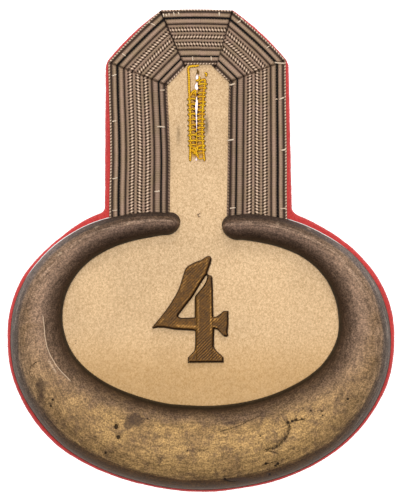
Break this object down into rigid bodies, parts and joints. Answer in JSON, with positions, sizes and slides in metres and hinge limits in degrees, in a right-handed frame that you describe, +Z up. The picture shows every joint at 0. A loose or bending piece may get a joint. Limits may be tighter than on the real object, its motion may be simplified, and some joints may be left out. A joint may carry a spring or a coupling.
{
  "type": "officer's epaulette with a metal crescent and a regimental numeral",
  "caption": "Stiff cloth epaulette: an octagonal strap edged with braid lace and pierced by a buttonhole, and an oval bowl ringed by a hollow metal crescent round a numeral.",
  "frame": {"origin": "middle of the flat underside, under the centre of the bounding box", "axes": "+Y along the strap towards its head, +Z up away from the wearer's shoulder, +X to the right as seen from above"},
  "size_m": [0.1206, 0.15, 0.0158],
  "materials": {
    "base_cloth": "milled red wool cloth over a stiff lining, matt, with a soft nap at its cut edge",
    "field_cloth": "fine pale wool cloth, matt, lightly soiled",
    "silver_lace": "tarnished silver thread lace with black silk stripes, ribs and twisted rows",
    "crescent_metal": "pressed gilt brass, gone brown and grey, satin, scratched and pitted",
    "numeral_metal": "cast brass with a hatched face, dull gold brown",
    "gold_thread": "golden yellow silk buttonhole twist"
  },
  "bodies": {
    "root": {"base_cloth": "base_cloth", "field_cloth": "field_cloth", "crescent": "crescent_metal", "numeral": "numeral_metal", "buttonhole_edging": "gold_thread", "lace_side_left": "silver_lace", "lace_slope_left": "silver_lace", "lace_head": "silver_lace", "lace_slope_right": "silver_lace", "lace_side_right": "silver_lace"}
  },
  "joints": []
}
